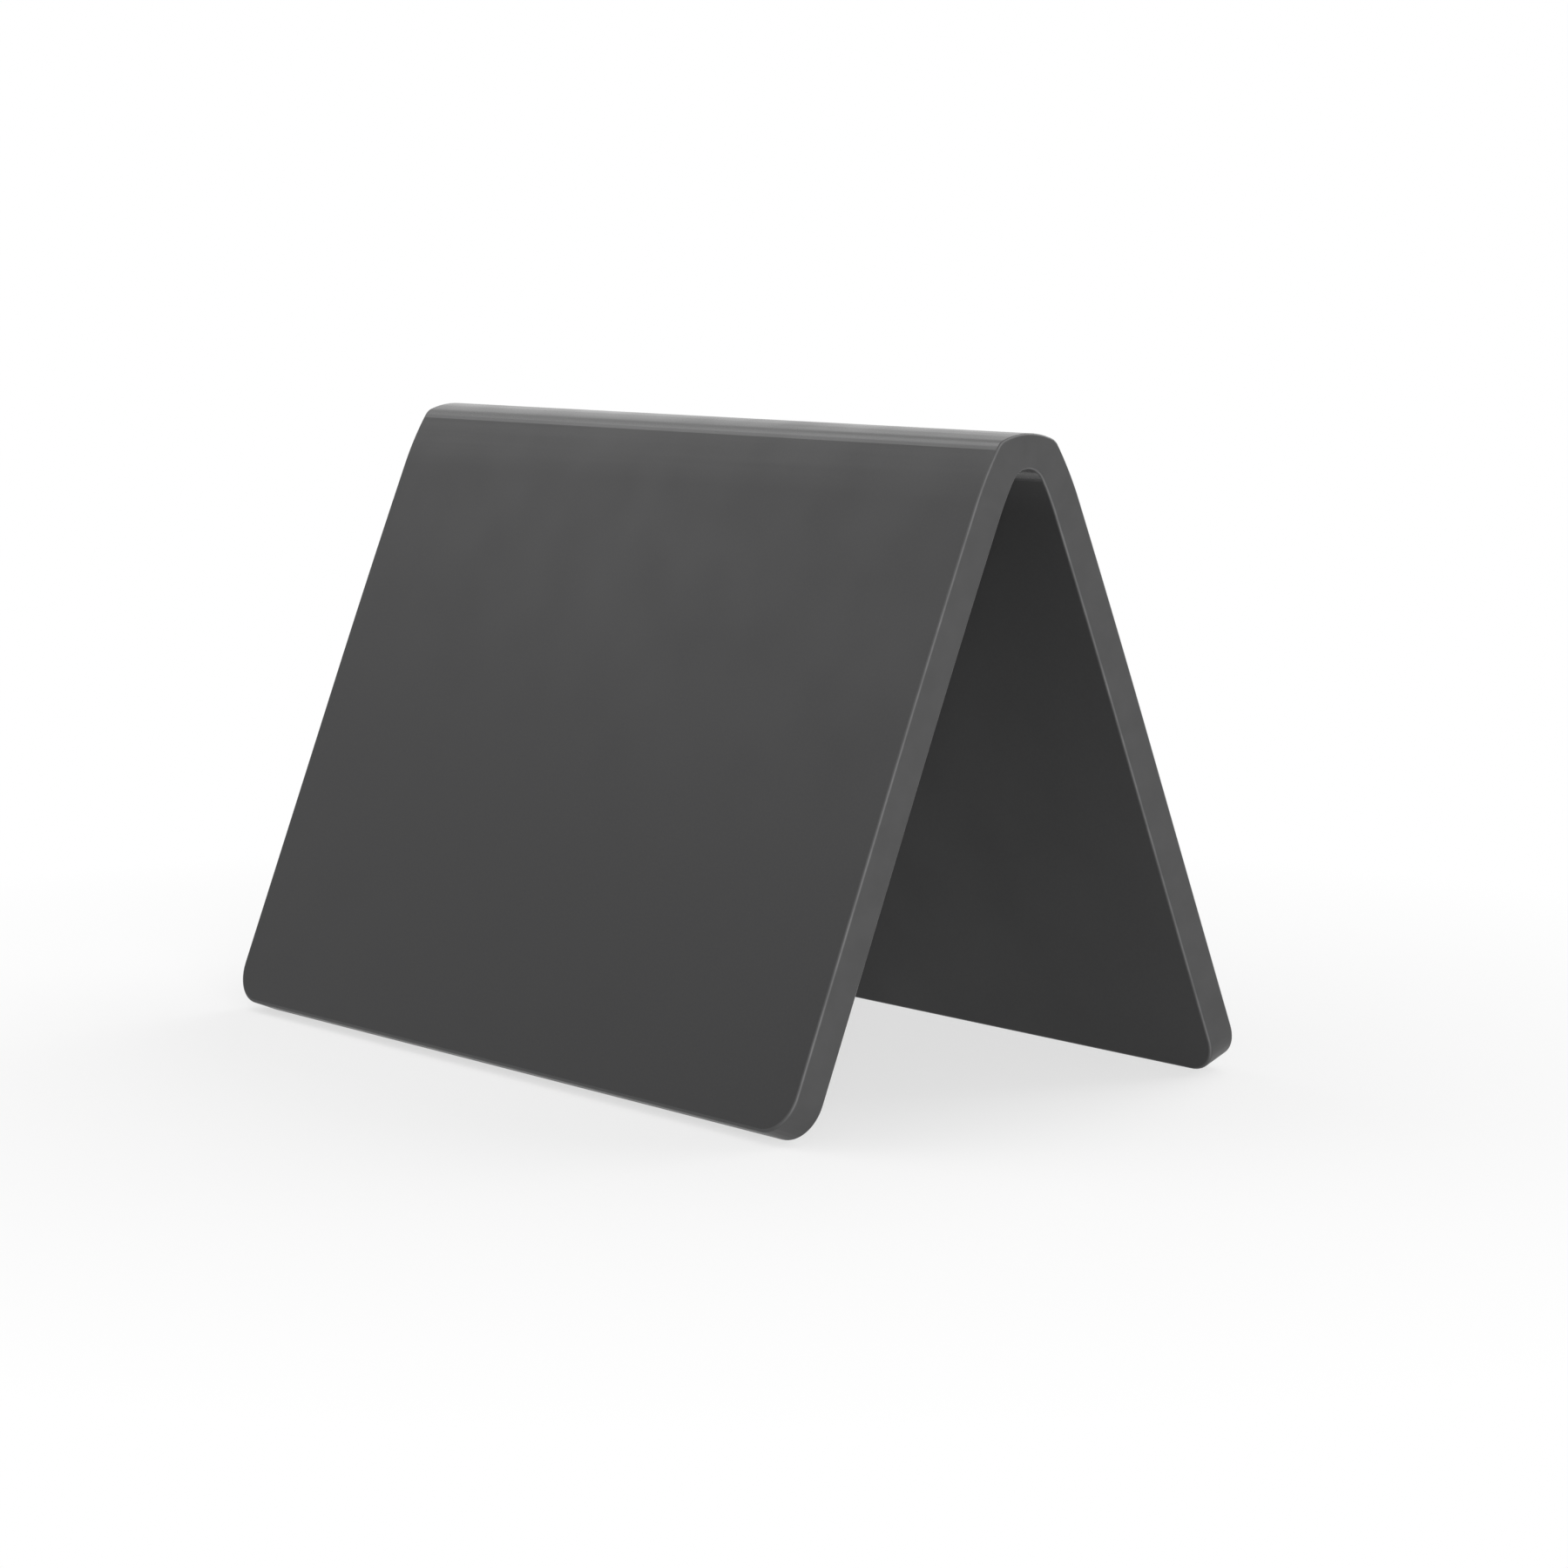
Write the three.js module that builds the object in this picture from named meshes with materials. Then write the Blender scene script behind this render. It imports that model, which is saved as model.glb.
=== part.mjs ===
// Mini chalkboard for a table or a shelf: one dark plastic sheet, cut to a rounded rectangle and
// heat-bent over its middle into a tent, so that each leg is a writing face and its lower edge a foot.
//
// Millimetres and degrees. X runs along the ridge, the front face looks towards -Y, Z is up.
// The origin is on the table, midway between the two feet and the two ends.
//
// The section is drawn for one leg in (u, v): u is the distance from the ridge's middle plane,
// v the height above the top of the ridge. A heading is the angle by which the skin has turned
// down from level: 0 at the top of the ridge, and the leg's own slope at the foot.

import * as THREE from "three";

// The flat blank
const BOARD_WIDTH = 83; // along the ridge
const FACE_LENGTH = 63.4; // over the outer skin, from the top of the ridge to the foot
const SHEET_THICKNESS = 3;
const CORNER_RADIUS = 3.5; // of the four corners of the blank, seen square to the face
const EDGE_RADIUS = 0.25; // of the arris that runs round each face of the sheet

// The bend, on each side of the ridge's middle
const LEG_LEAN = 21.8; // of each leg from upright
const CROWN_CORE_RADIUS = 4.7; // of the flat round on top, measured a sheet's thickness under its skin
const CROWN_TURN = 20.5;
const SHOULDER_RADIUS = 1.35; // of the tight turn outside, where the softened strip ends
const NECK_RADIUS = 29; // of the easier turn that follows it
const NECK_TURN = 10.5;
const BOW_RADIUS = 1150; // of the faint bow that carries the neck into the straight leg
const BOW_TURN = 1.1;

// How finely the round stretches are cut into flats
const CROWN_STEPS = 7;
const SHOULDER_STEPS = 6;
const NECK_STEPS = 6;
const BOW_STEPS = 3;
const CORNER_STEPS = 8;
const EDGE_STEPS = 4;

const SHEET_COLOUR = 0x3d3d3e;
const SHEET_ROUGHNESS = 0.48;

const RIGHT_ANGLE = Math.PI / 2;

// Skins of one leg

const radians = THREE.MathUtils.degToRad;
const outward = (heading) => new THREE.Vector2(Math.sin(heading), Math.cos(heading));
const onward = (heading) => new THREE.Vector2(Math.cos(heading), -Math.sin(heading));
const headingOf = (way) => Math.atan2(way.x, way.y);

// The round stretch of a skin between two headings.
function roundStretch(centre, radius, from, to) {
  const angle = (heading) => RIGHT_ANGLE - heading;
  return new THREE.EllipseCurve(centre.x, centre.y, radius, radius, angle(from), angle(to), true);
}

// The centre of the next arc of a skin, which leaves the last one at a heading without a kink.
function nextCentre(centre, radius, nextRadius, heading) {
  return centre.clone().addScaledVector(outward(heading), radius - nextRadius);
}

// The outer skin from the top of the ridge to where the leg runs straight: crown, shoulder, neck, bow.
function outerSkin(legHeading) {
  const crownRadius = CROWN_CORE_RADIUS + SHEET_THICKNESS;
  const crownEnd = radians(CROWN_TURN);
  const bowStart = legHeading - radians(BOW_TURN);
  const neckStart = bowStart - radians(NECK_TURN);
  const crown = new THREE.Vector2(0, -crownRadius);
  const shoulder = nextCentre(crown, crownRadius, SHOULDER_RADIUS, crownEnd);
  const neck = nextCentre(shoulder, SHOULDER_RADIUS, NECK_RADIUS, neckStart);
  const bow = nextCentre(neck, NECK_RADIUS, BOW_RADIUS, bowStart);
  return {
    arcs: [
      { curve: roundStretch(crown, crownRadius, 0, crownEnd), steps: CROWN_STEPS },
      { curve: roundStretch(shoulder, SHOULDER_RADIUS, crownEnd, neckStart), steps: SHOULDER_STEPS },
      { curve: roundStretch(neck, NECK_RADIUS, neckStart, bowStart), steps: NECK_STEPS },
      { curve: roundStretch(bow, BOW_RADIUS, bowStart, legHeading), steps: BOW_STEPS },
    ],
    neck,
    bow,
    bowStart,
  };
}

// The inner skin: neck and bow lie a sheet's thickness under the outer ones. A single round runs
// from one leg's neck to the other's without a kink. Its top lies a sheet's thickness under the
// ridge, and that fixes its radius.
function innerSkin(legHeading, outer) {
  const neckRadius = NECK_RADIUS - SHEET_THICKNESS;
  const bowRadius = BOW_RADIUS - SHEET_THICKNESS;
  const rise = outer.neck.y + SHEET_THICKNESS;
  const roundRadius =
    (neckRadius ** 2 - outer.neck.x ** 2 - rise ** 2) / (2 * (rise + neckRadius));
  const round = new THREE.Vector2(0, -SHEET_THICKNESS - roundRadius);
  const roundEnd = headingOf(round.clone().sub(outer.neck));
  return {
    arcs: [
      { curve: roundStretch(round, roundRadius, 0, roundEnd), steps: CROWN_STEPS + SHOULDER_STEPS },
      { curve: roundStretch(outer.neck, neckRadius, roundEnd, outer.bowStart), steps: NECK_STEPS },
      { curve: roundStretch(outer.bow, bowRadius, outer.bowStart, legHeading), steps: BOW_STEPS },
    ],
  };
}

// Points along a skin, arc after arc, without repeating the points where arcs meet.
function skinPoints(skin) {
  return skin.arcs.flatMap(({ curve, steps }, i) => curve.getPoints(steps).slice(i === 0 ? 0 : 1));
}

const skinLength = (skin) => skin.arcs.reduce((sum, { curve }) => sum + curve.getLength(), 0);

// Edge of the sheet

// Across the cut edge, from the outer skin to the inner one: how far each line of the rounded edge
// lies in from the blank's outline, and how deep below which skin.
function edgeLines() {
  const lines = [];
  for (let step = 0; step <= EDGE_STEPS; step += 1) {
    const turn = (RIGHT_ANGLE * step) / EDGE_STEPS;
    lines.push({
      inset: EDGE_RADIUS * (1 - Math.sin(turn)),
      depth: EDGE_RADIUS * (1 - Math.cos(turn)),
      fromOuter: true,
    });
  }
  const inner = lines.map((line) => ({ ...line, fromOuter: false }));
  return [...lines, ...inner.reverse()];
}

// Rings round the sheet

// One ring is the closed line round the sheet at one place along the section: the edge lines at
// the +X end from the outer skin to the inner one, then those at the -X end back again.
function ring(lines, pointAt) {
  const nearSide = lines.map((line) => pointAt(line, 1));
  const farSide = lines.map((line) => pointAt(line, -1)).reverse();
  return [...nearSide, ...farSide];
}

// A ring across the bend, between an outer and an inner point of the section.
function bendRing(lines, outerPoint, innerPoint) {
  const inwards = innerPoint.clone().sub(outerPoint).normalize();
  return ring(lines, (line, side) => {
    const start = line.fromOuter ? outerPoint : innerPoint;
    const sign = line.fromOuter ? 1 : -1;
    const at = start.clone().addScaledVector(inwards, sign * line.depth);
    return new THREE.Vector3(side * (BOARD_WIDTH / 2 - line.inset), at.x, at.y);
  });
}

// A ring at the given turn round the foot's corners: 0 where the side edge ends, a right angle
// where the foot's edge begins.
function cornerRing(lines, outerFoot, legHeading, turn) {
  const alongLeg = onward(legHeading);
  const inwards = outward(legHeading).negate();
  return ring(lines, (line, side) => {
    const reach = CORNER_RADIUS - line.inset;
    const across = BOARD_WIDTH / 2 - CORNER_RADIUS + reach * Math.cos(turn);
    const short = CORNER_RADIUS - reach * Math.sin(turn);
    const depth = line.fromOuter ? line.depth : SHEET_THICKNESS - line.depth;
    const at = outerFoot.clone().addScaledVector(alongLeg, -short).addScaledVector(inwards, depth);
    return new THREE.Vector3(side * across, at.x, at.y);
  });
}

// All rings of one leg, from the top of the ridge to the foot, with v still in place of height.
function legRings() {
  const lines = edgeLines();
  const legHeading = RIGHT_ANGLE - radians(LEG_LEAN);
  const outer = outerSkin(legHeading);
  const inner = innerSkin(legHeading, outer);
  const outerPoints = skinPoints(outer);
  const innerPoints = skinPoints(inner);
  const straight = FACE_LENGTH - skinLength(outer);
  const outerFoot = outerPoints.at(-1).clone().addScaledVector(onward(legHeading), straight);
  const rings = outerPoints.map((point, i) => bendRing(lines, point, innerPoints[i]));
  for (let step = 0; step <= CORNER_STEPS; step += 1) {
    const turn = (RIGHT_ANGLE * step) / CORNER_STEPS;
    rings.push(cornerRing(lines, outerFoot, legHeading, turn));
  }
  return rings;
}

// The height of the ridge's top over the table: the foot's inner arris touches it.
function ridgeHeight(rings) {
  const lowest = Math.min(...rings.at(-1).map((point) => point.z));
  return -lowest;
}

// Closed surface

// Joins rings of equal count into a closed surface, with a cap across the first and the last.
function loft(rings) {
  const count = rings[0].length;
  const positions = rings.flatMap((points) => points.flatMap((point) => point.toArray()));
  const triangles = [];
  for (let r = 0; r + 1 < rings.length; r += 1) {
    for (let i = 0; i < count; i += 1) {
      const next = (i + 1) % count;
      const a = r * count + i;
      const b = r * count + next;
      const c = (r + 1) * count + next;
      const d = (r + 1) * count + i;
      triangles.push(a, b, c, a, c, d);
    }
  }
  // A cap is a row of strips, each across the sheet's width from one edge line to the next.
  const last = (rings.length - 1) * count;
  for (let i = 0; i + 1 < count / 2; i += 1) {
    const across = count - 1 - i;
    triangles.push(i, across, across - 1, i, across - 1, i + 1);
    triangles.push(last + i, last + across - 1, last + across);
    triangles.push(last + i, last + i + 1, last + across - 1);
  }
  const geometry = new THREE.BufferGeometry();
  geometry.setAttribute("position", new THREE.Float32BufferAttribute(positions, 3));
  geometry.setIndex(triangles);
  geometry.computeVertexNormals();
  return geometry;
}

// The bent sheet: the front leg's rings from the foot up, then the rear leg's from the ridge down.
function boardGeometry() {
  const leg = legRings();
  const height = ridgeHeight(leg);
  const place = (side) => (point) => new THREE.Vector3(point.x, side * point.y, point.z + height);
  const front = leg.map((points) => points.map(place(-1))).reverse();
  const rear = leg.slice(1).map((points) => points.map(place(1)));
  return loft([...front, ...rear]);
}

const board = new THREE.Group();
const sheet = new THREE.MeshStandardMaterial({
  color: SHEET_COLOUR,
  roughness: SHEET_ROUGHNESS,
  metalness: 0,
});
const bentBoard = new THREE.Mesh(boardGeometry(), sheet);
bentBoard.name = "bent_board";
board.add(bentBoard);

export default board;
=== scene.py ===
"""Mini chalkboard: one dark plastic sheet, heat-bent over its middle into a tent, in a plain white studio.

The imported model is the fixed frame. The sheet is modelled again here in fine steps, with true round
arrises, and dressed with four finishes: the satin writing face, the milled cut edge, the heated bend
and the verges of that bend. Metres, X along the ridge, the front face towards -Y, Z up, the feet on
the floor at Z = 0.

The section of one leg is drawn in (u, v): u is the distance from the ridge's middle plane and v the
height above the top of the ridge. A heading is how far the skin has turned down from level.
"""

import logging
import math
from collections.abc import Callable
from dataclasses import dataclass, field
from enum import Enum
from typing import NamedTuple

import bmesh
import bpy
from mathutils import Matrix, Vector


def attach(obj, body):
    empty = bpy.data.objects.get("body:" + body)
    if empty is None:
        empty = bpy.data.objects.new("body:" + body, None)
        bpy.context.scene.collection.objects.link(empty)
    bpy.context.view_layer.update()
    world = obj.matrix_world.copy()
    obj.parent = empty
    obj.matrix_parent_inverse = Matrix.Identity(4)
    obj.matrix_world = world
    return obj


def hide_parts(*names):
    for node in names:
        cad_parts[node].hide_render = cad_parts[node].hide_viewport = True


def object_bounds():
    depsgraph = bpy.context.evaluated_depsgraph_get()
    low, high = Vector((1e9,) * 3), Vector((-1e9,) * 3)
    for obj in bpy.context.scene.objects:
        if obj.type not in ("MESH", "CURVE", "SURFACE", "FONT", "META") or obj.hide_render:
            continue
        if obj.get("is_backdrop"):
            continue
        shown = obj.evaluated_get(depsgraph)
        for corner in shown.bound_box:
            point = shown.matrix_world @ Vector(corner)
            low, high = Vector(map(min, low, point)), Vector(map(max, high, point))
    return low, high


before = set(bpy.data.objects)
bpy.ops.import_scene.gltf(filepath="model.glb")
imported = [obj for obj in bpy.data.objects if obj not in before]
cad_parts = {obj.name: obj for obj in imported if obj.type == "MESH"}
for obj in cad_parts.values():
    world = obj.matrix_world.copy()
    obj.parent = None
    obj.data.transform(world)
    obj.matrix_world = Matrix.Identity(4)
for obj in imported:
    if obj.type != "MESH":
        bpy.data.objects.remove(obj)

LOG = logging.getLogger("mini_chalkboard")

MM = 0.001
RIGHT_ANGLE = math.pi / 2
CAD_NODE = "bent_board"
BODY = "root"

Socket = bpy.types.NodeSocket
Triple = tuple[float, float, float]
Colour = tuple[float, float, float, float]
Range = tuple[float, float]

WHITE: Colour = (1, 1, 1, 1)
# Nearly all values of a noise lie in this range.
NOISE_RANGE: Range = (0.3, 0.7)
SHARE_RANGE: Range = (0.0, 1.0)
# A strip that was softened further than this, but not fully, is a verge of the bend.
VERGE_BEND = 0.9
# The power by which the arris line, rubbed wear with a painted highlight, fades from the middle of an
# arris to its sides.
ARRIS_FADE = 6
# The power by which that line fades round a foot's corner, from the side edge to the foot, where a lamp's
# highlight would turn away: painted highlight.
CORNER_FADE = 4


class Attribute(Enum):
    """What each vertex of the sheet tells its finishes."""

    FLAT_PLACE = "flat_place"
    ARRIS = "arris"
    BEND = "bend"


class Detail(Enum):
    """How many finer layers lie over a noise's coarse one."""

    SMOOTH = 0.0
    BROKEN = 2.0
    FINE = 3.0


class Surface(Enum):
    """The surfaces of the sheet that have a finish of their own, by the number of their material."""

    FACE = 0
    EDGE = 1
    BEND = 2
    VERGE = 3

    @classmethod
    def of_skin(cls, bend: float) -> "Surface":
        """Which surface a strip of skin belongs to.

        Args:
            bend: how far the sheet was softened at the colder side of the strip.

        Returns:
            The surface.
        """
        if bend == 1:
            return cls.BEND
        return cls.VERGE if bend > VERGE_BEND else cls.FACE


class Side(Enum):
    """The two legs, by the direction in which they stand off the ridge's middle plane."""

    FRONT = -1
    REAR = 1


def outward(heading: float) -> Vector:
    """The skin's outward normal in (u, v) at a heading."""
    return Vector((math.sin(heading), math.cos(heading)))


def onward(heading: float) -> Vector:
    """The direction down the skin in (u, v) at a heading."""
    return Vector((math.cos(heading), -math.sin(heading)))


def even(size: float) -> Triple:
    """The sizes of a pattern that is as large in every direction."""
    return (size, size, size)


class SkinPoint(NamedTuple):
    """A point of one skin of the section.

    Attributes:
        at: its place in (u, v).
        heading: the skin's heading there.
        run: the way along the outer skin from the top of the ridge.
    """

    at: Vector
    heading: float
    run: float


class Corner(NamedTuple):
    """A vertex of the finished sheet.

    Attributes:
        place: where it is, in the row frame.
        normal: the surface's normal there.
        flat_place: where it was in the flat blank: along the ridge, down the face, into the sheet.
        arris: 1 in the middle of an arris, 0 on the skins and the cut face; the mask of the arris's rubbed
            wear and painted highlight.
        bend: 1 where the sheet was softened for bending, 0 where it stayed cold.
    """

    place: Vector
    normal: Vector
    flat_place: Vector
    arris: float
    bend: float


@dataclass(frozen=True)
class Arc:
    """A round stretch of a skin.

    Attributes:
        centre: its centre in (u, v).
        radius: its radius.
        start: the heading where it begins.
        end: the heading where it ends.
        steps: how many flats it is cut into.
    """

    centre: Vector
    radius: float
    start: float
    end: float
    steps: int

    @property
    def length(self) -> float:
        """The way along the arc."""
        return self.radius * (self.end - self.start)

    def heading(self, step: int) -> float:
        """The heading after a number of steps."""
        return self.start + (self.end - self.start) * step / self.steps

    def at(self, heading: float) -> Vector:
        """The arc's point at a heading."""
        return self.centre + self.radius * outward(heading)

    def next_centre(self, radius: float) -> Vector:
        """The centre of an arc of another radius that goes on from this one's end without a kink."""
        return self.centre + (self.radius - radius) * outward(self.end)


@dataclass(frozen=True)
class EdgeLine:
    """One of the lines that run round the sheet over its cut edge.

    Attributes:
        turn: how far the surface has turned from the skin, 0, to the cut face, a right angle.
        outer: whether the line belongs to the outer skin's arris or to the inner one's.
    """

    turn: float
    outer: bool

    def inset(self, radius: float) -> float:
        """How far the line lies in from the blank's outline."""
        return radius * (1 - math.sin(self.turn))

    def depth(self, radius: float) -> float:
        """How far the line lies below its own skin."""
        return radius * (1 - math.cos(self.turn))

    @property
    def arris(self) -> float:
        """1 in the middle of the arris, 0 where it meets the skin or the cut face."""
        return math.sin(2 * self.turn) ** ARRIS_FADE


@dataclass(frozen=True)
class BentSheet:
    """The chalkboard: a rounded rectangle of sheet, bent over its middle.

    Attributes:
        width: along the ridge.
        face_length: over the outer skin, from the top of the ridge to the foot.
        thickness: of the sheet.
        corner_radius: of the blank's four corners.
        edge_radius: of the arrises.
        leg_lean: of each leg from upright.
        crown_core_radius: of the flat round on top, a sheet's thickness under its skin.
        crown_turn: of the flat round, on each side.
        shoulder_radius: of the tight turn where the softened strip ends.
        neck_radius: of the easier turn under the shoulder.
        neck_turn: of that turn.
        bow_radius: of the faint bow that runs out into the straight leg.
        bow_turn: of the bow.
        crown_steps: into how many flats the crown is cut on each side.
        shoulder_steps: into how many flats a shoulder is cut.
        neck_steps: into how many flats a neck is cut.
        bow_steps: into how many flats a bow is cut.
        corner_steps: into how many flats a corner of the blank is cut.
        edge_steps: into how many flats an arris is cut.
    """

    width: float = 83 * MM
    face_length: float = 63.4 * MM
    thickness: float = 3 * MM
    corner_radius: float = 3.5 * MM
    edge_radius: float = 0.25 * MM
    leg_lean: float = math.radians(21.8)
    crown_core_radius: float = 4.7 * MM
    crown_turn: float = math.radians(20.5)
    shoulder_radius: float = 1.35 * MM
    neck_radius: float = 29 * MM
    neck_turn: float = math.radians(10.5)
    bow_radius: float = 1150 * MM
    bow_turn: float = math.radians(1.1)
    crown_steps: int = 20
    shoulder_steps: int = 16
    neck_steps: int = 16
    bow_steps: int = 10
    corner_steps: int = 16
    edge_steps: int = 8

    @property
    def leg_heading(self) -> float:
        """The heading of the straight leg."""
        return RIGHT_ANGLE - self.leg_lean

    def outer_arcs(self) -> list[Arc]:
        """The outer skin's round stretches: crown, shoulder, neck and bow.

        Returns:
            The four arcs, from the top of the ridge down.
        """
        bow_start = self.leg_heading - self.bow_turn
        neck_start = bow_start - self.neck_turn
        radius = self.crown_core_radius + self.thickness
        crown = Arc(Vector((0, -radius)), radius, 0, self.crown_turn, self.crown_steps)
        centre = crown.next_centre(self.shoulder_radius)
        shoulder = Arc(centre, self.shoulder_radius, crown.end, neck_start, self.shoulder_steps)
        centre = shoulder.next_centre(self.neck_radius)
        neck = Arc(centre, self.neck_radius, neck_start, bow_start, self.neck_steps)
        centre = neck.next_centre(self.bow_radius)
        bow = Arc(centre, self.bow_radius, bow_start, self.leg_heading, self.bow_steps)
        return [crown, shoulder, neck, bow]

    def inner_arcs(self, outer: list[Arc]) -> list[Arc]:
        """The inner skin's round stretches.

        Neck and bow lie a sheet's thickness under the outer ones. One round joins the two legs'
        necks, and its top lies a sheet's thickness under the ridge.

        Args:
            outer: the outer skin's arcs.

        Returns:
            The round, the neck and the bow, from the top down.
        """
        neck, bow = outer[2:]
        reach = neck.radius - self.thickness
        rise = neck.centre.y + self.thickness
        radius = (reach**2 - neck.centre.x**2 - rise**2) / (2 * (rise + reach))
        centre = Vector((0, -self.thickness - radius))
        way = centre - neck.centre
        end = math.atan2(way.x, way.y)
        steps = self.crown_steps + self.shoulder_steps
        return [
            Arc(centre, radius, 0, end, steps),
            Arc(neck.centre, reach, end, neck.end, self.neck_steps),
            Arc(bow.centre, bow.radius - self.thickness, bow.start, bow.end, self.bow_steps),
        ]

    def skin(self, arcs: list[Arc]) -> list[SkinPoint]:
        """The points along a skin's arcs, without repeating those where two arcs meet.

        Args:
            arcs: the skin's arcs from the top down.

        Returns:
            The points from the top of the ridge to the start of the straight leg.
        """
        points = [SkinPoint(arcs[0].at(0), 0, 0)]
        run = 0.0
        for arc in arcs:
            for step in range(1, arc.steps + 1):
                heading = arc.heading(step)
                way = run + arc.length * step / arc.steps
                points.append(SkinPoint(arc.at(heading), heading, way))
            run += arc.length
        return points

    def edge_lines(self) -> list[EdgeLine]:
        """The lines over the cut edge.

        Returns:
            The lines from the outer skin to the inner one.
        """
        turns = [RIGHT_ANGLE * step / self.edge_steps for step in range(self.edge_steps + 1)]
        outer = [EdgeLine(turn, True) for turn in turns]
        inner = [EdgeLine(turn, False) for turn in reversed(turns)]
        return outer + inner

    def ring(self, corner_at: Callable[[EdgeLine, int], Corner]) -> list[Corner]:
        """The closed line round the sheet at one place along the section.

        Args:
            corner_at: gives the vertex on an edge line at the +X end, 1, or the -X end, -1.

        Returns:
            The vertices over the +X edge from the outer skin to the inner one, then back over -X.
        """
        lines = self.edge_lines()
        near = [corner_at(line, 1) for line in lines]
        far = [corner_at(line, -1) for line in reversed(lines)]
        return near + far

    def bend_ring(self, outer: SkinPoint, inner: SkinPoint, bend: float) -> list[Corner]:
        """A ring across the bend.

        Args:
            outer: the outer skin's point.
            inner: the inner skin's point that faces it.
            bend: how far the sheet was softened there.

        Returns:
            The ring's vertices.
        """
        inwards = (inner.at - outer.at).normalized()

        def corner_at(line: EdgeLine, end: int) -> Corner:
            """The vertex on one edge line.

            Args:
                line: the edge line.
                end: 1 for the +X end, -1 for the -X end.

            Returns:
                The vertex.
            """
            skin = outer if line.outer else inner
            sign = 1 if line.outer else -1
            inset, depth = line.inset(self.edge_radius), line.depth(self.edge_radius)
            at = skin.at + sign * depth * inwards
            facing = sign * outward(skin.heading) * math.cos(line.turn)
            into = depth if line.outer else self.thickness - depth
            across = end * (self.width / 2 - inset)
            return Corner(
                place=Vector((across, at.x, at.y)),
                normal=Vector((end * math.sin(line.turn), facing.x, facing.y)),
                flat_place=Vector((across, outer.run, into)),
                arris=line.arris,
                bend=bend,
            )

        return self.ring(corner_at)

    def corner_ring(self, foot: Vector, turn: float) -> list[Corner]:
        """A ring across the leg where the foot's corners are rounded.

        Args:
            foot: the outer skin's foot in (u, v).
            turn: how far round the corner, 0 where it leaves the side and a right angle at the foot.

        Returns:
            The ring's vertices.
        """
        down = onward(self.leg_heading)
        out = outward(self.leg_heading)

        def corner_at(line: EdgeLine, end: int) -> Corner:
            """The vertex on one edge line.

            Args:
                line: the edge line.
                end: 1 for the +X end, -1 for the -X end.

            Returns:
                The vertex.
            """
            reach = self.corner_radius - line.inset(self.edge_radius)
            across = end * (self.width / 2 - self.corner_radius + reach * math.cos(turn))
            short = self.corner_radius - reach * math.sin(turn)
            depth = line.depth(self.edge_radius)
            into = depth if line.outer else self.thickness - depth
            at = foot - short * down - into * out
            sign = 1 if line.outer else -1
            facing = sign * math.cos(line.turn) * out + math.sin(line.turn) * math.sin(turn) * down
            return Corner(
                place=Vector((across, at.x, at.y)),
                normal=Vector((end * math.sin(line.turn) * math.cos(turn), facing.x, facing.y)),
                flat_place=Vector((across, self.face_length - short, into)),
                # The arris's painted highlight fades round the foot's corner.
                arris=line.arris * math.cos(turn) ** CORNER_FADE,
                bend=0.0,
            )

        return self.ring(corner_at)

    def leg_rings(self) -> list[list[Corner]]:
        """All rings of one leg, with v in place of the height.

        Returns:
            The rings from the top of the ridge to the foot.
        """
        outer_arcs = self.outer_arcs()
        outer = self.skin(outer_arcs)
        inner = self.skin(self.inner_arcs(outer_arcs))
        crown, shoulder, neck = outer_arcs[:3]
        softened = crown.length + shoulder.length
        cold = softened + neck.length
        rings = []
        for outer_point, inner_point in zip(outer, inner, strict=True):
            share = (cold - outer_point.run) / (cold - softened)
            rings.append(self.bend_ring(outer_point, inner_point, min(1.0, max(0.0, share))))
        foot = outer[-1].at + (self.face_length - outer[-1].run) * onward(self.leg_heading)
        for step in range(self.corner_steps + 1):
            rings.append(self.corner_ring(foot, RIGHT_ANGLE * step / self.corner_steps))
        return rings

    def sheet_rings(self) -> list[list[Corner]]:
        """The rings of the whole sheet, from the front foot over the ridge to the rear foot.

        Returns:
            The rings, standing on the floor.
        """
        leg = self.leg_rings()
        height = -min(corner.place.z for corner in leg[-1])

        def placed(ring: list[Corner], side: Side) -> list[Corner]:
            """The ring on one leg, at its real height.

            Args:
                ring: the ring as drawn.
                side: the leg.

            Returns:
                The ring in its place.
            """
            flip = Vector((1, side.value, 1))
            lift = Vector((0, 0, height))
            return [
                corner._replace(
                    place=corner.place * flip + lift,
                    normal=corner.normal * flip,
                    flat_place=corner.flat_place * flip,
                )
                for corner in ring
            ]

        front = [placed(ring, Side.FRONT) for ring in reversed(leg)]
        rear = [placed(ring, Side.REAR) for ring in leg[1:]]
        return front + rear

    def mesh(self, name: str) -> bpy.types.Mesh:
        """Builds the closed surface with its normals and attributes.

        Args:
            name: the mesh's name.

        Returns:
            The mesh.
        """
        rings = self.sheet_rings()
        corners = [corner for ring in rings for corner in ring]
        count = len(rings[0])
        across_outer, across_inner = count - 1, count // 2 - 1
        build = bmesh.new()
        points = [build.verts.new(corner.place) for corner in corners]
        for row in range(len(rings) - 1):
            for column in range(count):
                here = row * count + column
                beside = row * count + (column + 1) % count
                face = build.faces.new([points[i] for i in (here, beside, beside + count, here + count)])
                surface = Surface.EDGE
                if column in (across_outer, across_inner):
                    surface = Surface.of_skin(min(corners[here].bend, corners[here + count].bend))
                face.material_index = surface.value
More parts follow.
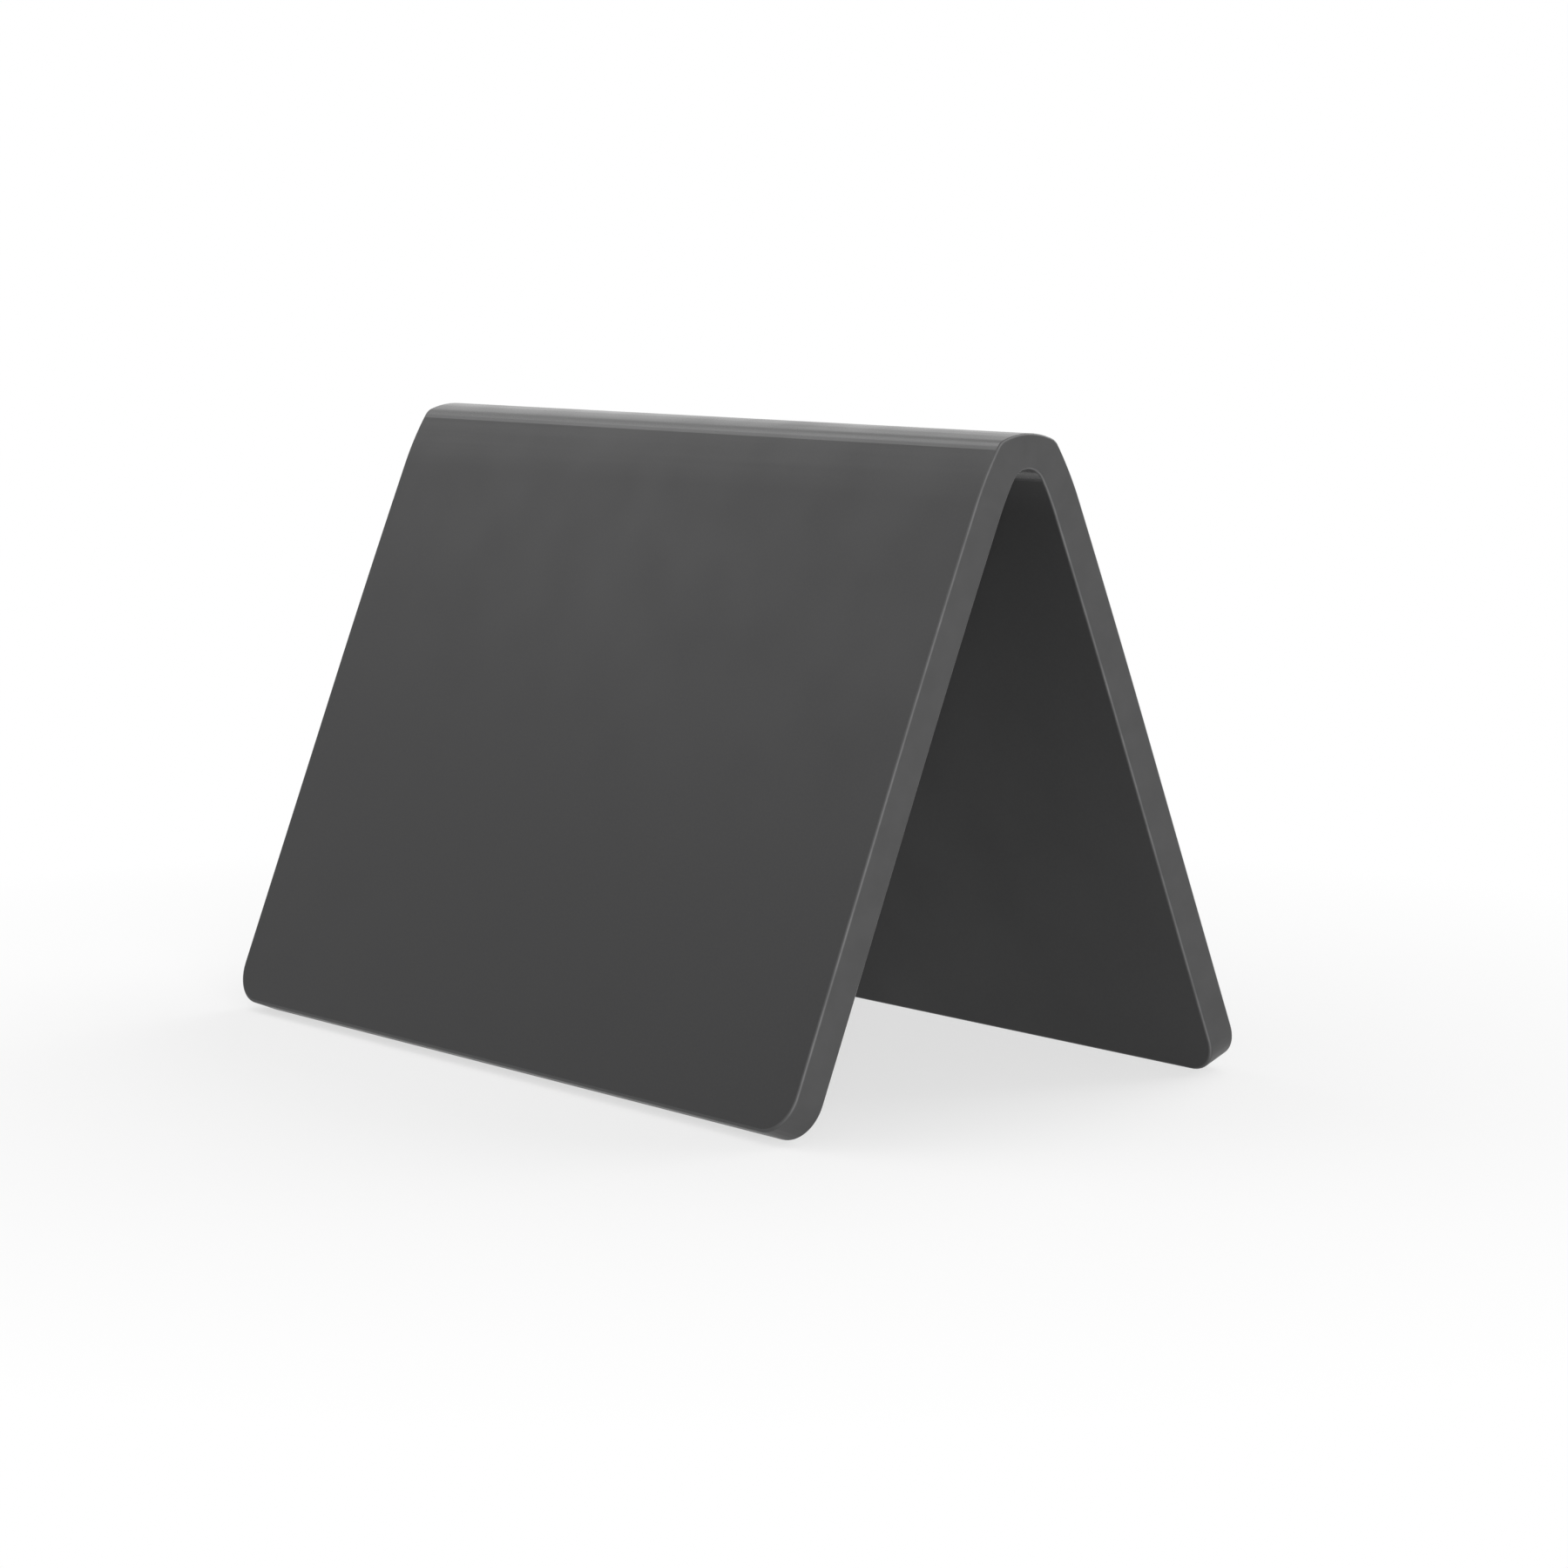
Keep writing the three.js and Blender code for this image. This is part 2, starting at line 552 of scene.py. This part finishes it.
        # Each foot is closed by strips across the sheet's width, from one edge line to the next.
        for first, flip in ((0, False), (len(rings) * count - count, True)):
            for line in range(count // 2 - 1):
                near = first + line
                far = first + count - 1 - line
                strip = [points[i] for i in (near, far, far - 1, near + 1)]
                face = build.faces.new(reversed(strip) if flip else strip)
                face.material_index = Surface.EDGE.value
        mesh = bpy.data.meshes.new(name)
        build.to_mesh(mesh)
        build.free()
        self.write_attributes(mesh, corners)
        mesh.shade_smooth()
        mesh.normals_split_custom_set_from_vertices([corner.normal.normalized() for corner in corners])
        return mesh

    @staticmethod
    def write_attributes(mesh: bpy.types.Mesh, corners: list[Corner]) -> None:
        """Stores what the finishes read from each vertex.

        Each attribute is filled before the next is made, because making one can move the others.

        Args:
            mesh: the sheet's mesh.
            corners: its vertices in order.
        """
        place = mesh.attributes.new(Attribute.FLAT_PLACE.value, "FLOAT_VECTOR", "POINT")
        place.data.foreach_set("vector", [part for corner in corners for part in corner.flat_place])
        arris = mesh.attributes.new(Attribute.ARRIS.value, "FLOAT", "POINT")
        arris.data.foreach_set("value", [corner.arris for corner in corners])
        bend = mesh.attributes.new(Attribute.BEND.value, "FLOAT", "POINT")
        bend.data.foreach_set("value", [corner.bend for corner in corners])


class Bench:
    """The node tree of one material, with short calls for the nodes that the finishes share."""

    def __init__(self, name: str) -> None:
        """Opens an empty tree.

        Args:
            name: the material's name.
        """
        self.material = bpy.data.materials.new(name)
        self.material.use_nodes = True
        self.tree = self.material.node_tree
        self.tree.nodes.clear()

    def add(
        self, kind: str, inputs: dict[str | int, object] | None = None, **settings: object
    ) -> bpy.types.Node:
        """Adds a node.

        Args:
            kind: the node's type name.
            inputs: values or sockets for its inputs, by name or number.
            settings: its properties.

        Returns:
            The node.
        """
        node = self.tree.nodes.new(kind)
        for key, value in settings.items():
            setattr(node, key, value)
        for key, value in (inputs or {}).items():
            if isinstance(value, bpy.types.NodeSocket):
                self.tree.links.new(value, node.inputs[key])
            else:
                node.inputs[key].default_value = value
        return node

    def attribute(self, which: Attribute, output: str) -> Socket:
        """What the vertices tell, as a vector or a factor."""
        return self.add("ShaderNodeAttribute", attribute_name=which.value).outputs[output]

    def stretched(self, place: Socket, sizes: Triple) -> Socket:
        """The flat place counted in pattern sizes.

        Args:
            place: the flat place.
            sizes: the pattern's size along the ridge, down the face and into the sheet.

        Returns:
            The scaled vector.
        """
        counts = tuple(1 / size for size in sizes)
        node = self.add("ShaderNodeVectorMath", {0: place, 1: counts}, operation="MULTIPLY")
        return node.outputs["Vector"]

    def noise(self, place: Socket, sizes: Triple, detail: Detail) -> Socket:
        """Even noise, about 0.5 on average.

        Args:
            place: the flat place.
            sizes: the cells' size along the ridge, down the face and into the sheet.
            detail: how many finer layers lie over the coarse one.

        Returns:
            The noise.
        """
        vector = self.stretched(place, sizes)
        inputs = {"Vector": vector, "Scale": 1.0, "Detail": detail.value}
        node = self.add("ShaderNodeTexNoise", inputs)
        return node.outputs["Fac"]

    def spread(self, value: Socket, source: Range, result: Range) -> Socket:
        """Stretches a value from one range to another, and holds it there.

        Args:
            value: the value.
            source: the range that it comes in.
            result: the range that it goes to.

        Returns:
            The stretched value.
        """
        limits = {
            "Value": value,
            "From Min": source[0],
            "From Max": source[1],
            "To Min": result[0],
            "To Max": result[1],
        }
        return self.add("ShaderNodeMapRange", limits).outputs["Result"]

    def joined(self, operation: str, values: tuple[Socket, ...]) -> Socket:
        """Joins values, each to the result so far.

        Args:
            operation: the arithmetic that joins two of them.
            values: the values.

        Returns:
            The result.
        """
        result = values[0]
        for value in values[1:]:
            node = self.add("ShaderNodeMath", {0: result, 1: value}, operation=operation)
            result = node.outputs["Value"]
        return result

    def sum(self, *values: Socket) -> Socket:
        """The sum of several values."""
        return self.joined("ADD", values)

    def product(self, *values: Socket) -> Socket:
        """The product of several values."""
        return self.joined("MULTIPLY", values)

    def shade(self, level: Socket, tint: Triple) -> Socket:
        """A colour: the tint times a level."""
        node = self.add("ShaderNodeVectorMath", {0: tint, "Scale": level}, operation="SCALE")
        return node.outputs["Vector"]

    def relief(self, height: Socket, depth: float, below: Socket | None = None) -> Socket:
        """The normal over a relief.

        Args:
            height: the relief, from 0 to 1.
            depth: its depth in metres.
            below: the normal of a coarser relief under it.

        Returns:
            The normal.
        """
        inputs = {"Height": height, "Distance": depth, "Strength": 1.0}
        if below is not None:
            inputs["Normal"] = below
        return self.add("ShaderNodeBump", inputs).outputs["Normal"]

    def finish(self, plastic: dict[str, object]) -> bpy.types.Material:
        """Closes the tree with a plastic shader.

        Args:
            plastic: the shader's inputs.

        Returns:
            The material.
        """
        shader = self.add("ShaderNodeBsdfPrincipled", plastic)
        self.add("ShaderNodeOutputMaterial", {"Surface": shader.outputs["BSDF"]})
        return self.material


@dataclass(frozen=True)
class SkinFinish:
    """The satin skin of the sheet, as it left the press, and smoother towards the bend.

    Attributes:
        name: the material's name.
        tint: the plastic's colour.
        cloud: how far broad patches are lighter or darker, as a share.
        cloud_size: of those patches.
        grain_size: of the pressed grain.
        grain_depth: of the pressed grain.
        wave_size: of the sheet's faint waviness.
        wave_depth: of that waviness.
        roughness: of the cold faces.
        bend_roughness: where the sheet was softened for bending.
        roughness_spread: how far the roughness wanders from place to place.
        streak_length: of the fine lines that the heated strip has along the ridge.
        streak_width: of those lines.
        streak_depth: of those lines.
        ior: of the plastic.
        gloss: the shader's specular level, 0.5 for a surface without pores.
    """

    name: str = "satin_writing_face"
    tint: Triple = (0.034, 0.034, 0.0345)
    cloud: float = 0.05
    cloud_size: float = 9 * MM
    grain_size: float = 0.22 * MM
    grain_depth: float = 0.0022 * MM
    wave_size: float = 14 * MM
    wave_depth: float = 0.02 * MM
    roughness: float = 0.46
    bend_roughness: float = 0.34
    roughness_spread: float = 0.05
    streak_length: float = 55 * MM
    streak_width: float = 0.5 * MM
    streak_depth: float = 0.004 * MM
    ior: float = 1.45
    gloss: float = 0.25

    def material(self) -> bpy.types.Material:
        """Builds the finish.

        Returns:
            The material.
        """
        bench = Bench(self.name)
        place = bench.attribute(Attribute.FLAT_PLACE, "Vector")
        bend = bench.attribute(Attribute.BEND, "Fac")
        cloud = bench.noise(place, even(self.cloud_size), Detail.BROKEN)
        grain = bench.noise(place, even(self.grain_size), Detail.FINE)
        wave = bench.noise(place, even(self.wave_size), Detail.SMOOTH)
        drawn_sizes = (self.streak_length, self.streak_width, self.streak_length)
        streak = bench.noise(place, drawn_sizes, Detail.BROKEN)
        level = bench.sum(
            bench.spread(cloud, NOISE_RANGE, (1 - self.cloud, 1 + self.cloud)),
            bench.spread(grain, NOISE_RANGE, (-self.cloud, self.cloud)),
        )
        uneven = (-self.roughness_spread, self.roughness_spread)
        rough = bench.sum(
            bench.spread(bend, SHARE_RANGE, (self.roughness, self.bend_roughness)),
            bench.spread(cloud, NOISE_RANGE, uneven),
            bench.product(bend, bench.spread(streak, NOISE_RANGE, uneven)),
        )
        coarse = bench.relief(wave, self.wave_depth)
        drawn = bench.relief(bench.product(bend, streak), self.streak_depth, coarse)
        fine = bench.relief(grain, self.grain_depth, drawn)
        return bench.finish(
            {
                "Base Color": bench.shade(level, self.tint),
                "Roughness": rough,
                "IOR": self.ior,
                "Specular IOR Level": self.gloss,
                "Normal": fine,
            }
        )


@dataclass(frozen=True)
class CutEdgeFinish:
    """The milled edge of the sheet, with its arrises painted light: partly rubbed wear, partly a painted
    highlight.

    Attributes:
        name: the material's name.
        tint: the plastic's colour where the cutter left it matt.
        cut_line: the pitch of the cutter's fine lines along the edge.
        cut_run: how far such a line runs across the edge before it changes.
        cut_depth: their depth.
        mottle: how far patches are lighter or darker, as a share.
        mottle_size: of those patches.
        rubbed_and_highlight: how much lighter an arris is than the cut face, partly rubbed wear and partly
            a painted highlight.
        least_wear_and_highlight: the share of that where an arris is lightened least.
        roughness: of the cut face.
        rubbed_roughness: of the arrises.
        roughness_spread: how far the cutter's lines change the roughness.
        ior: of the plastic.
        gloss: the shader's specular level, 0.5 for a surface without pores.
    """

    name: str = "milled_cut_edge"
    tint: Triple = (0.065, 0.065, 0.0655)
    cut_line: float = 0.3 * MM
    cut_run: float = 12 * MM
    cut_depth: float = 0.003 * MM
    mottle: float = 0.06
    mottle_size: float = 2.5 * MM
    rubbed_and_highlight: float = 1.6
    least_wear_and_highlight: float = 0.6
    roughness: float = 0.42
    rubbed_roughness: float = 0.26
    roughness_spread: float = 0.05
    ior: float = 1.45
    gloss: float = 0.27

    def material(self) -> bpy.types.Material:
        """Builds the finish.

        Returns:
            The material.
        """
        bench = Bench(self.name)
        place = bench.attribute(Attribute.FLAT_PLACE, "Vector")
        arris = bench.attribute(Attribute.ARRIS, "Fac")
        mottle = bench.noise(place, even(self.mottle_size), Detail.FINE)
        lines = bench.noise(place, (self.cut_line, self.cut_line, self.cut_run), Detail.BROKEN)
        # The arris's rubbed wear and painted highlight, patchy along the edge.
        wear_and_highlight = bench.product(arris, bench.spread(mottle, NOISE_RANGE, (self.least_wear_and_highlight, 1.0)))
        # The colour: mottled, and lighter on the arrises by the rubbed wear and the painted highlight.
        level = bench.sum(
            bench.spread(mottle, NOISE_RANGE, (1 - self.mottle, 1 + self.mottle)),
            bench.spread(wear_and_highlight, SHARE_RANGE, (0, self.rubbed_and_highlight)),
        )
        rough = bench.sum(
            bench.spread(wear_and_highlight, SHARE_RANGE, (self.roughness, self.rubbed_roughness)),
            bench.spread(lines, NOISE_RANGE, (-self.roughness_spread, self.roughness_spread)),
        )
        return bench.finish(
            {
                "Base Color": bench.shade(level, self.tint),
                "Roughness": rough,
                "IOR": self.ior,
                "Specular IOR Level": self.gloss,
                "Normal": bench.relief(lines, self.cut_depth),
            }
        )


@dataclass(frozen=True)
class Board:
    """The chalkboard as it is shown: the bent sheet in its finishes.

    Attributes:
        sheet: the sheet's sizes.
        face: the finish of the writing faces, outside and inside.
        edge: the finish of the cut edge.
        bend: the finish of the strip that was heated for bending.
        verge: the finish of that strip's two verges.
    """

    sheet: BentSheet = field(default_factory=BentSheet)
    face: SkinFinish = field(default_factory=SkinFinish)
    edge: CutEdgeFinish = field(default_factory=CutEdgeFinish)
    bend: SkinFinish = field(
        default_factory=lambda: SkinFinish(name="heated_bend", bend_roughness=0.25, gloss=0.75)
    )
    verge: SkinFinish = field(
        default_factory=lambda: SkinFinish(name="bend_verge", bend_roughness=0.3, gloss=0.55)
    )

    def build(self) -> bpy.types.Object:
        """Makes the board, rides it on the body and hides the imported solid that it stands in for.

        Returns:
            The board's object.
        """
        mesh = self.sheet.mesh("bent_board_sheet")
        finishes = {
            Surface.FACE: self.face,
            Surface.EDGE: self.edge,
            Surface.BEND: self.bend,
            Surface.VERGE: self.verge,
        }
        for surface in Surface:
            mesh.materials.append(finishes[surface].material())
        board = bpy.data.objects.new("bent_board_sheet", mesh)
        bpy.context.scene.collection.objects.link(board)
        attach(board, BODY)
        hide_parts(CAD_NODE)
        return board


@dataclass(frozen=True)
class SoftBox:
    """A square lamp that faces the board.

    Attributes:
        name: the lamp's name.
        azimuth: where it stands round the board, in degrees: 0 in front, 90 at the +X end.
        elevation: its height over the horizon, in degrees.
        distance: from the middle of the board.
        side: the length of its sides.
        level: how bright it lights a white card that faces it at the board.
        mirrored: whether a gloss shows it. A strong small box would burn a white streak into the ridge.
    """

    name: str
    azimuth: float
    elevation: float
    distance: float
    side: float
    level: float
    mirrored: bool = True

    def build(self, middle: Vector) -> bpy.types.Object:
        """Sets the lamp up.

        Args:
            middle: the point that it faces.

        Returns:
            The lamp's object.
        """
        lamp = bpy.data.lights.new(self.name, "AREA")
        lamp.shape = "SQUARE"
        lamp.size = self.side
        # With this power a white card at the board shines at about the level.
        lamp.energy = self.level * (math.pi * self.distance) ** 2
        away = direction(self.azimuth, self.elevation)
        box = bpy.data.objects.new(self.name, lamp)
        box.location = middle + self.distance * away
        box.rotation_euler = away.to_track_quat("Z", "Y").to_euler()
        box.visible_camera = False
        box.visible_glossy = self.mirrored
        bpy.context.scene.collection.objects.link(box)
        return box


def direction(azimuth: float, elevation: float) -> Vector:
    """The direction from the board to a place round it.

    Args:
        azimuth: in degrees, 0 in front and 90 at the +X end.
        elevation: in degrees over the horizon.

    Returns:
        The unit vector.
    """
    turn, rise = math.radians(azimuth), math.radians(elevation)
    return Vector(
        (
            math.sin(turn) * math.cos(rise),
            -math.cos(turn) * math.cos(rise),
            math.sin(rise),
        )
    )


@dataclass(frozen=True)
class Studio:
    """A pale floor under a plain white surround, with soft lamps.

    Attributes:
        floor_radius: of the round floor.
        floor_sides: into how many straight sides its rim is cut.
        floor_colour: of the floor for the light that it throws back.
        shadow_share: how much of the floor's own shading the camera sees.
        gloss_share: how much of it a gloss sees.
        shadow_radius: how far from the board that shading keeps its full share.
        clear_radius: how far from the board the floor has turned plain white.
        ambient: the level of the light from all round.
        backdrop: the level of the plain white that shows all round.
        lamps: the soft lamps.
    """

    floor_radius: float = 1.5
    floor_sides: int = 96
    floor_colour: Colour = (0.65, 0.65, 0.65, 1)
    shadow_share: float = 0.35
    gloss_share: float = 0.35
    shadow_radius: float = 0.045
    clear_radius: float = 0.13
    ambient: float = 0.3
    backdrop: float = 1.0
    lamps: tuple[SoftBox, ...] = (
        SoftBox(
            "right_soft_box",
            azimuth=62,
            elevation=6,
            distance=0.6,
            side=0.3,
            level=0.94,
            mirrored=False,
        ),
        SoftBox("rear_soft_box", azimuth=180, elevation=35, distance=0.6, side=0.6, level=0.6),
        SoftBox("left_soft_box", azimuth=-60, elevation=45, distance=0.15, side=0.13, level=0.12),
        SoftBox("front_left_soft_box", azimuth=-45, elevation=45, distance=0.15, side=0.13, level=0.21),
    )

    def world(self) -> None:
        """Lights the scene from all round, and shows plain white behind it."""
        world = bpy.data.worlds.new("plain_studio")
        world.use_nodes = True
        tree = world.node_tree
        tree.nodes.clear()
        output = tree.nodes.new("ShaderNodeOutputWorld")
        mix = tree.nodes.new("ShaderNodeMixShader")
        tree.links.new(seen(tree), mix.inputs["Fac"])
        # The mixer's first shader lights the scene, and its second one is what shows.
        for socket, strength in ((1, self.ambient), (2, self.backdrop)):
            shader = tree.nodes.new("ShaderNodeBackground")
            shader.inputs["Color"].default_value = WHITE
            shader.inputs["Strength"].default_value = strength
            tree.links.new(shader.outputs["Background"], mix.inputs[socket])
        tree.links.new(mix.outputs["Shader"], output.inputs["Surface"])
        bpy.context.scene.world = world

    def floor_material(self) -> bpy.types.Material:
        """The floor's finish: pale, and lifted to white for the camera but for the board's shadow.

        Returns:
            The material.
        """
        bench = Bench("pale_floor")
        paint = bench.add("ShaderNodeBsdfDiffuse", {"Color": self.floor_colour})
        bright = bench.add("ShaderNodeBsdfDiffuse", {"Color": WHITE})
        white = bench.add("ShaderNodeEmission", {"Color": WHITE, "Strength": self.backdrop})
        place = bench.add("ShaderNodeNewGeometry").outputs["Position"]
        away = bench.add("ShaderNodeVectorMath", {0: place}, operation="LENGTH").outputs["Value"]
        path = bench.add("ShaderNodeLightPath")
        share = bench.product(
            bench.spread(away, (self.shadow_radius, self.clear_radius), (1, 0)),
            bench.spread(
                path.outputs["Is Camera Ray"], SHARE_RANGE, (self.gloss_share, self.shadow_share)
            ),
        )
        shown = bench.add(
            "ShaderNodeMixShader",
            {"Fac": share, 1: white.outputs["Emission"], 2: bright.outputs["BSDF"]},
        )
        both = bench.add(
            "ShaderNodeMixShader",
            {"Fac": seen(bench.tree), 1: paint.outputs["BSDF"], 2: shown.outputs["Shader"]},
        )
        bench.add("ShaderNodeOutputMaterial", {"Surface": both.outputs["Shader"]})
        return bench.material

    def floor(self) -> bpy.types.Object:
        """Lays the floor under the feet.

        Returns:
            The floor's object.
        """
        build = bmesh.new()
        bmesh.ops.create_circle(
            build, cap_ends=True, segments=self.floor_sides, radius=self.floor_radius
        )
        mesh = bpy.data.meshes.new("studio_floor")
        build.to_mesh(mesh)
        build.free()
        mesh.materials.append(self.floor_material())
        floor = bpy.data.objects.new("studio_floor", mesh)
        bpy.context.scene.collection.objects.link(floor)
        floor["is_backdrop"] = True
        return floor

    def build(self, middle: Vector) -> list[bpy.types.Object]:
        """Sets up the surround, the floor and the lamps.

        Args:
            middle: the middle of the board, which the lamps face.

        Returns:
            The floor and the lamps.
        """
        self.world()
        return [self.floor(), *(lamp.build(middle) for lamp in self.lamps)]


def seen(tree: bpy.types.NodeTree) -> Socket:
    """1 for a ray that shows what it meets: from the camera, a gloss or a clear part.

    Args:
        tree: the node tree to put it in.

    Returns:
        The factor.
    """
    path = tree.nodes.new("ShaderNodeLightPath")
    total = path.outputs["Is Camera Ray"]
    for name in ("Is Glossy Ray", "Is Transmission Ray"):
        either = tree.nodes.new("ShaderNodeMath")
        either.operation = "MAXIMUM"
        tree.links.new(total, either.inputs[0])
        tree.links.new(path.outputs[name], either.inputs[1])
        total = either.outputs[0]
    return total


@dataclass(frozen=True)
class Viewpoint:
    """Where the photograph was taken from.

    Attributes:
        azimuth: round the board, in degrees: 0 in front, 90 at the +X end.
        elevation: over the horizon, in degrees.
        roll: about the line of sight, in degrees, left side down.
        distance: from the aim.
        aim: the point in the middle of the picture.
        focal_share: the focal length as a share of the picture's width.
        sensor: the width of the sensor in millimetres.
        nearest: how close to the lens something may stand and still be shown.
    """

    azimuth: float = 50.384
    elevation: float = 7.374
    roll: float = 0.057
    distance: float = 387.28 * MM
    aim: Triple = (3.875 * MM, 4.681 * MM, 23.669 * MM)
    focal_share: float = 2.6938
    sensor: float = 36.0
    nearest: float = 10 * MM

    def build(self) -> bpy.types.Object:
        """Sets up the scene's camera.

        Returns:
            The camera's object.
        """
        lens = bpy.data.cameras.new("photo_camera")
        lens.sensor_width = self.sensor
        lens.lens = self.focal_share * self.sensor
        lens.clip_start = self.nearest
        camera = bpy.data.objects.new("photo_camera", lens)
        back = direction(self.azimuth, self.elevation)
        level = back.to_track_quat("Z", "Y").to_matrix()
        camera.matrix_world = Matrix.Translation(Vector(self.aim) + self.distance * back) @ (
            level @ Matrix.Rotation(math.radians(self.roll), 3, "Z")
        ).to_4x4()
        bpy.context.scene.collection.objects.link(camera)
        bpy.context.scene.camera = camera
        return camera


def main() -> None:
    """Builds the board and its studio, and logs what it set up."""
    logging.basicConfig(level=logging.INFO, format="%(message)s")
    cad_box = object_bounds()
    bpy.context.scene.view_settings.view_transform = "Standard"
    board = Board().build()
    shape = board.data
    LOG.info("%s: %d vertices, %d faces", board.name, len(shape.vertices), len(shape.polygons))
    camera = Viewpoint().build()
    LOG.info("%s: %.1f mm lens", camera.name, camera.data.lens)
    middle = (cad_box[0] + cad_box[1]) / 2
    for piece in Studio().build(middle):
        LOG.info("%s: set up", piece.name)


if __name__ == "__main__":
    main()
